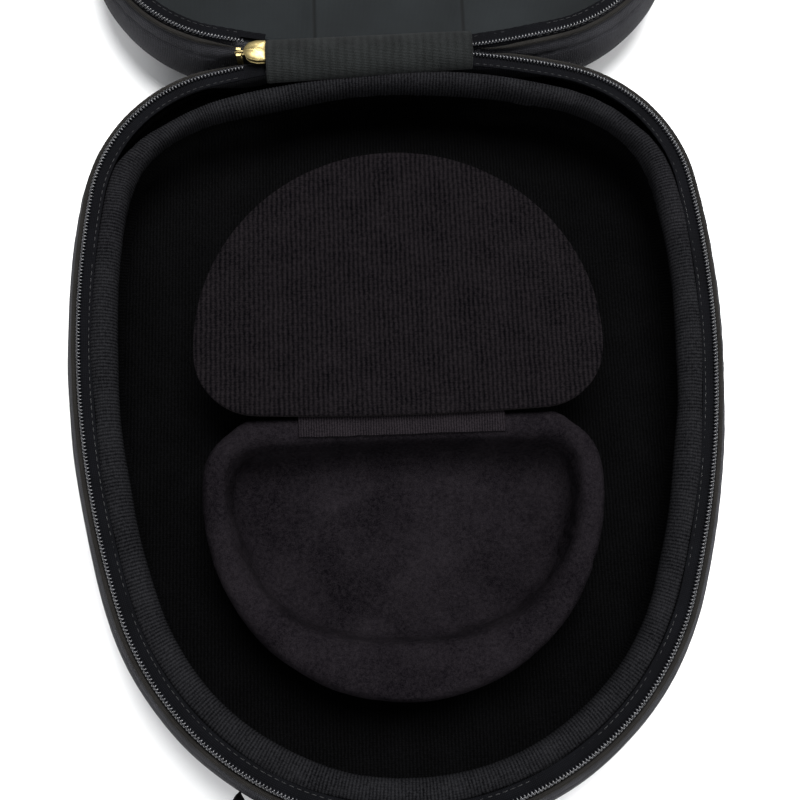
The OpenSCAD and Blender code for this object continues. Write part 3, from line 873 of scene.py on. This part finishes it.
# ------------------------------------------------------------------ compartment
def compartment_pad():
    """Moulded pad with a cavity, a wide rounded rim and a finger dimple at its front."""
    count = 260
    s = np.arange(count) / count * ISLAND.length
    f = ISLAND.angle(s)[0]
    wide = 8.5 + 9.5 * np.maximum(0, -np.cos(f)) ** 3
    behind = ease((np.cos(f) - 0.9) / 0.09)
    round_off = 4 - 3.2 * behind
    top, floor_z = 27.7 + 0.7 * behind, 10.4
    quarter = np.linspace(0, math.pi / 2, 7)
    rows = [(-0.6, 7.4, 0), (-0.4, 12.0, 0), (-0.4, 18.0, 0)]
    rows += [(-0.4 - round_off * (1 - math.cos(a)), top - round_off * (1 - math.sin(a)), 0)
             for a in quarter]
    rows += [(4 - 4 * math.sin(a), top - 4 + 4 * math.cos(a), 1) for a in quarter]
    rows += [(-0.6, 18.0, 1), (-1.0, floor_z + 4.5, 1)]
    rows += [(-5.0 + 4 * math.cos(a), floor_z + 4 - 4 * math.sin(a), 1) for a in quarter[1:]]
    rings = []
    for d, z, inside in rows:
        x, y, nx, ny = ISLAND.at(s, 0)
        off = d - wide * inside + 1.4 * behind * (1 - inside)
        rings.append(np.stack([x + off * nx, y + off * ny, np.full(count, 1.0) * z], -1))
    wall = np.stack(rings, 0)
    centre = wall[-1].mean(0)
    inner = [centre + (wall[-1] - centre) * k for k in (0.75, 0.5, 0.25, 0.04)]
    grid = np.concatenate([wall, np.stack(inner, 0)], 0)
    m = len(grid)
    faces = grid_faces(m, count, False, True).tolist()
    faces += [list(range(count)), list(range((m - 1) * count, m * count))]
    o = mesh_object("compartment_pad", grid.reshape(-1, 3), faces)
    mesh = o.modifiers.new("remesh", "REMESH")
    mesh.mode = "VOXEL"
    mesh.voxel_size = 2.4 * MM
    bake(o)

    def held(p):
        behind = (p[:, 1] > FLAP_Y - 12) & (p[:, 2] > 20)
        return (p[:, 2] < 12) | behind

    inflate(o, 4.0, 0.8, held, shrink=-0.02)
    smooth_once(o)
    p = points_of(o) / MM
    r2 = (p[:, 0] + 1.5) ** 2 + (p[:, 1] + 81.0) ** 2
    press = 3.4 * np.exp(-(r2 / 7.2 ** 2) ** 1.5) * ease((p[:, 2] - 21) / 4)
    p[:, 2] -= press
    crease = np.abs(((p[:, 0] - 52) * 0.83 + (p[:, 1] + 40) * 0.55))
    inside = ease((26 - p[:, 2]) / 3) * ease((p[:, 2] - 12) / 3)
    p[:, 0] -= 0.5 * np.exp(-(crease / 1.2) ** 2) * inside * (p[:, 0] > 20)
    o.data.vertices.foreach_set("co", (p * MM).ravel())
    o.data.update()
    nudge(o, lambda q: wobble(q, 16.0, 0.35, 12.0) * (q[:, 1] < FLAP_Y - 12) + wobble(q, 4.0, 0.07, 15.0))
    return o


pad = dress(compartment_pad(), FELT, "base")
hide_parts("compartment_block", "compartment_lining", "compartment_rim")

FLAP = Outline([(858, 0, 3), (20, 3, 86), (62, 86, 110), (None, 110, 180)], FLAP_Y - 0.6)


def flap_layer(name, low, high, inset, crown, seed, ripple=0.0):
    """Rounded-edged sheet of the flap, open towards the hinge, between two heights."""
    count = 300
    s = np.arange(count) / count * FLAP.length
    e = min(0.35, (high - low) / 2)
    edge = [(0.02 - e, low), (-0.35 * e, low + 0.3 * e), (0, low + e), (0, high - e),
            (-0.35 * e, high - 0.3 * e), (-e, high)]

    def ring(d, z):
        x, y, _, _ = FLAP.at(s, d - inset)
        return np.stack([x, 2 * FLAP_Y - y, np.full(count, z)], -1)

    wall = [ring(d, z) for d, z in edge]
    middle = wall[-1].mean(0)
    shares = np.linspace(1, 0.02, 34)[1:]
    above = [middle + (wall[-1] - middle) * k for k in shares]
    below = [wall[0].mean(0) + (wall[0] - wall[0].mean(0)) * k for k in (0.02, 0.35, 0.7)]
    grid = np.stack(below + wall + above, 0)
    lift = np.zeros(grid.shape[:2])
    for j, k in enumerate(shares):
        lift[len(below) + len(wall) + j] = crown * (1 - k ** 6)
    grid[..., 2] += lift
    if ripple:
        grid[..., 2] += wobble(grid, 20.0, ripple, seed) * (lift > 0)
    m = len(grid)
    faces = grid_faces(m, count, False, True).tolist()
    faces += [list(range(count)), list(range((m - 1) * count, m * count))]
    flat = grid.reshape(-1, 3)
    uvs = [flat[i][:2].tolist() for f in faces for i in f]
    return mesh_object(name, flat, faces, uvs)


def crowned(p):
    return p[:, 2] < 30.95


face = flap_layer("flap_knit_face", 30.75, 31.45, 0.0, 0.15, 21.0, 0.12)
inflate(face, 2.0, 0.25, crowned)
dress(face, FLAP_KNIT, "flap")
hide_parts("flap_face")
board = dress(flap_layer("flap_stiff_board", 29.6, 30.78, 0.45, 0, 0), BOARD, "flap")
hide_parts("flap_board")
back = dress(flap_layer("flap_felt_back", 28.95, 29.62, 0.1, 0, 0), FLAP_FELT, "flap")
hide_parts("flap_back")


def hinge_cloth():
    """Knit strip from the rim to under the flap's straight edge."""
    line = loop_curve([(-5.0, 27.85), (-3.6, 28.1), (-2.0, 28.25), (-0.6, 28.5), (0.6, 28.75),
                       (2.0, 28.5)], 22, closed=False)
    line[:, 0] += FLAP_Y
    x = np.linspace(-32, 32, 90)
    thick = 0.42
    rows = []
    for y, z in line:
        rows.append((y, z + thick))
    for y, z in line[::-1]:
        rows.append((y, z))
    grid = np.zeros((len(x), len(rows), 3))
    for j, (y, z) in enumerate(rows):
        fray = wobble(np.stack([x, np.full(len(x), y * 1.0), np.zeros(len(x))], -1), 5.0, 0.25, 31.0)
        grid[:, j] = np.stack([x, y + fray * (y < FLAP_Y - 4.6), np.full(len(x), z)], -1)
    return grid_object("flap_hinge_cloth", grid, x - x[0], False, True)


strip = dress(hinge_cloth(), STRIP)
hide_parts("flap_hinge_strip")
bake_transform(strip)

# ------------------------------------------------------------------ spine
SPINE_LEFT, SPINE_RIGHT = -40.0, 28.0


def spine_strip():
    """Padded jersey strip that bridges the hinge between the two ends of the zip."""
    upper = [(-7.2, 31.6), (-7.0, 32.9), (-5.6, 34.6), (-3.2, 35.9), (-0.3, 36.3), (2.6, 35.9),
             (4.8, 34.6), (6.2, 32.9), (6.4, 31.6)]
    lower = [(5.4, 31.3), (3.6, 32.2), (0, 33.2), (-4.2, 32.2), (-6.3, 31.3)]
    section = loop_curve(upper + lower, 48)
    x = np.concatenate([[SPINE_LEFT, SPINE_LEFT + 0.08, SPINE_LEFT + 0.35],
                        np.linspace(SPINE_LEFT + 0.9, SPINE_RIGHT - 0.9, 96),
                        [SPINE_RIGHT - 0.35, SPINE_RIGHT - 0.08, SPINE_RIGHT]])
    shrink = np.ones(len(x))
    shrink[[0, -1]], shrink[[1, -2]], shrink[[2, -3]] = 0.93, 0.965, 0.99
    middle = np.array([0, 33.6])
    grid = np.zeros((len(x), len(section), 3))
    for i, (at, k) in enumerate(zip(x, shrink)):
        skew = (SPINE_RIGHT - at) / (SPINE_RIGHT - SPINE_LEFT)
        q = middle + (section - middle) * k
        y = q[:, 0] * (1 + 0.155 * skew) - 2.9 * skew
        z = q[:, 1] + 0.5 * skew * ease(-q[:, 0] / 6)
        grid[i] = np.stack([np.full(len(q), at), HINGE_Y + y, z], -1)
    o = grid_object("spine_strip", grid, x - x[0], False, True)

    def sewn(p):
        ends = (p[:, 0] < SPINE_LEFT + 1) | (p[:, 0] > SPINE_RIGHT - 1)
        return (p[:, 2] < 32.3) | ends

    inflate(o, 2.0, 0.5, sewn)
    nudge(o, lambda p: wobble(p, 13.0, 0.3, 40.0) * ease((p[:, 2] - 32.5) / 2))
    return o


spine = dress(spine_strip(), JERSEY)
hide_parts("spine_cover_base", "spine_cover_lid")
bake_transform(spine)


# ------------------------------------------------------------------ handle
HANDLE_LEFT, HANDLE_RIGHT = -48.0, 29.0
STRAP_TALL, STRAP_THICK = 16.0, 2.2
STRAP_Z = 15.5
SEWN_LOW, SEWN_HIGH = 9.4, 21.6


def handle():
    """Ribbed webbing loop along the front left; the stitches on its ends are added after it."""
    a, b = CASE.front_s(HANDLE_RIGHT), CASE.front_s(HANDLE_LEFT)
    n = 150
    s = np.linspace(a, b, n)
    t = (s - a) / (b - a)
    off = 7.9 + 8.0 * np.sin(math.pi * t) ** 0.6
    ring = []
    for k in range(40):
        w = k / 40 * 2 * math.pi
        c, q = math.cos(w), math.sin(w)
        ring.append((STRAP_THICK / 2 * abs(c) ** 0.6 * np.sign(c),
                     STRAP_TALL / 2 * abs(q) ** 0.35 * np.sign(q)))
    grid = np.zeros((n, len(ring), 3))
    for j, (d, z) in enumerate(ring):
        ribs = 0.14 * math.cos(z * 2 * math.pi / 1.6) * np.sign(d)
        grid[:, j] = case_xyz(s, off + STRAP_THICK / 2 + d + ribs, STRAP_Z + z)
    return grid_object("handle_webbing", grid, s - a, False, True), s, off


strap, strap_s, strap_off = handle()
dress(strap, WEBBING, "base")
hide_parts("carry_handle")


def sewn_box(first, last):
    """The four sides of the box of stitches between two stations of the strap."""
    out = strap_off[first:last] + 2.36
    rows = [case_xyz(strap_s[first:last], out, z) for z in (SEWN_LOW, SEWN_HIGH)]
    for k in (first, last - 1):
        p = case_xyz(np.full(12, strap_s[k]), np.full(12, strap_off[k] + 2.36), 0)
        p[:, 2] = np.linspace(SEWN_LOW, SEWN_HIGH, 12)
        rows.append(p)
    return rows


strap_end = len(strap_s)
for number, (first, last) in enumerate(((3, 12), (strap_end - 13, strap_end - 4))):
    for k, row in enumerate(sewn_box(first, last)):
        name = "handle_stitch_" + str(number) + "_" + str(k)
        dress(stitches(name, row, 2.0, 1.5, 0.16), THREAD, "base")

# ------------------------------------------------------------------ slider
pull_tab = frame["nodes"]["pull_tab"]
pull_tab.data.materials.clear()
pull_tab.data.materials.append(BRASS.material)


def shield_outline(count):
    """Slider's outline from above: pointed and rounded to the left, square to the right."""
    corners = np.array([(3.75, 3.7), (3.75, -3.7), (0.6, -3.8), (-2.2, -3.0), (-3.6, -1.2),
                        (-3.9, 0), (-3.6, 1.2), (-2.2, 3.0), (0.6, 3.8)])
    closed = np.vstack([corners, corners[:1]])
    along = path_length(closed)
    t = np.linspace(0, along[-1], count, endpoint=False)
    line = np.stack([np.interp(t, along, closed[:, j]) for j in range(2)], -1)
    for _ in range(3):
        line = (np.roll(line, 1, 0) + 2 * line + np.roll(line, -1, 0)) / 4
    return line


def slider_shell():
    """Slider in one piece: lower plate, narrow waist, and a domed shield on top."""
    low, high = (np.array(v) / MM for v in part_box("slider_body"))
    middle = (high[0] - 3.25, HINGE_Y - 0.5)
    line = shield_outline(96)
    levels = [(0.03, low[2]), (0.84, low[2]), (0.9, low[2] + 0.25), (0.9, low[2] + 0.75),
              (0.84, low[2] + 0.9), (0.3, low[2] + 0.95), (0.3, high[2] - 0.95), (0.95, high[2] - 0.9),
              (1.0, high[2] - 0.7), (1.0, high[2] - 0.1), (0.97, high[2] + 0.2), (0.9, high[2] + 0.36),
              (0.7, high[2] + 0.55), (0.5, high[2] + 0.68), (0.25, high[2] + 0.75),
              (0.03, high[2] + 0.77)]
    grid = np.zeros((len(levels), len(line), 3))
    for i, (size, z) in enumerate(levels):
        q = line * size
        on_top = (z > high[2]) * (q[:, 0] < 2.2)
        ridge = 0.28 * np.exp(-((q[:, 1]) / 0.55) ** 2) * ease((1 - size) / 0.2) * on_top
        grid[i] = np.stack([middle[0] + q[:, 0], middle[1] + q[:, 1], z + ridge], -1)
    m, k = grid.shape[:2]
    faces = grid_faces(m, k, False, True).tolist()
    faces += [list(range(k)), list(range((m - 1) * k, m * k))]
    return mesh_object("slider_shell", grid.reshape(-1, 3), faces)


def slider_bail():
    """Wire loop at the slider's left end, round the pin of the pull."""
    pin_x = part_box("slider_body")[0][0] / MM + 1.2
    pin_z = RIM - 0.5
    around = [(3.4, -0.85), (1.6, -0.95), (0.4, -0.95), (-0.65, -0.68), (-0.95, 0), (-0.65, 0.68),
              (0.4, 0.95), (1.6, 0.95), (3.4, 1.3)]
    path = [(pin_x + x, HINGE_Y, pin_z + z) for x, z in around]
    return tube("slider_bail", loop_curve(path, 60, closed=False), 0.36, 12, closed=False)


shell = dress(slider_shell(), BRASS, "slider")
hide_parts("slider_body")
dress(slider_bail(), BRASS, "slider")


# ------------------------------------------------------------------ stage and light
def pale_floor():
    """Wide sheet of pale paper just under the case."""
    bpy.ops.mesh.primitive_plane_add(size=6, location=(0, 0.1, -0.0004))
    o = bpy.context.object
    o.name = "floor"
    m = Finish("floor_paper", None, "Object")
    m.colour(m.tones(m.grain(60, 2), [(0.3, (243, 243, 243)), (0.7, (250, 250, 250))]))
    m.rough(m.grain(20, 2), 0.8, 0.95)
    o.data.materials.append(m.material)


def soft_light(name, at, to, size, power):
    """Round area light at a place in metres, aimed at another."""
    data = bpy.data.lights.new(name, "AREA")
    data.shape = "DISK"
    data.size = size
    data.energy = power
    o = bpy.data.objects.new(name, data)
    o.location = at
    o.rotation_euler = (Vector(to) - Vector(at)).to_track_quat("-Z", "Y").to_euler()
    bpy.context.scene.collection.objects.link(o)


pale_floor()
soft_light("overhead", (0.15, 0.55, 1.25), (0, 0.05, 0), 0.8, 30)
soft_light("front", (-0.35, -1.2, 0.75), (0, 0, 0), 0.7, 9)
soft_light("right", (1.2, 0.45, 0.9), (0, 0, 0), 0.5, 10)
world = bpy.data.worlds.new("studio")
world.use_nodes = True
world.node_tree.nodes["Background"].inputs["Color"].default_value = (0.95, 0.97, 1.0, 1)
world.node_tree.nodes["Background"].inputs["Strength"].default_value = 0.45
bpy.context.scene.world = world
bpy.context.scene.view_settings.view_transform = "Standard"
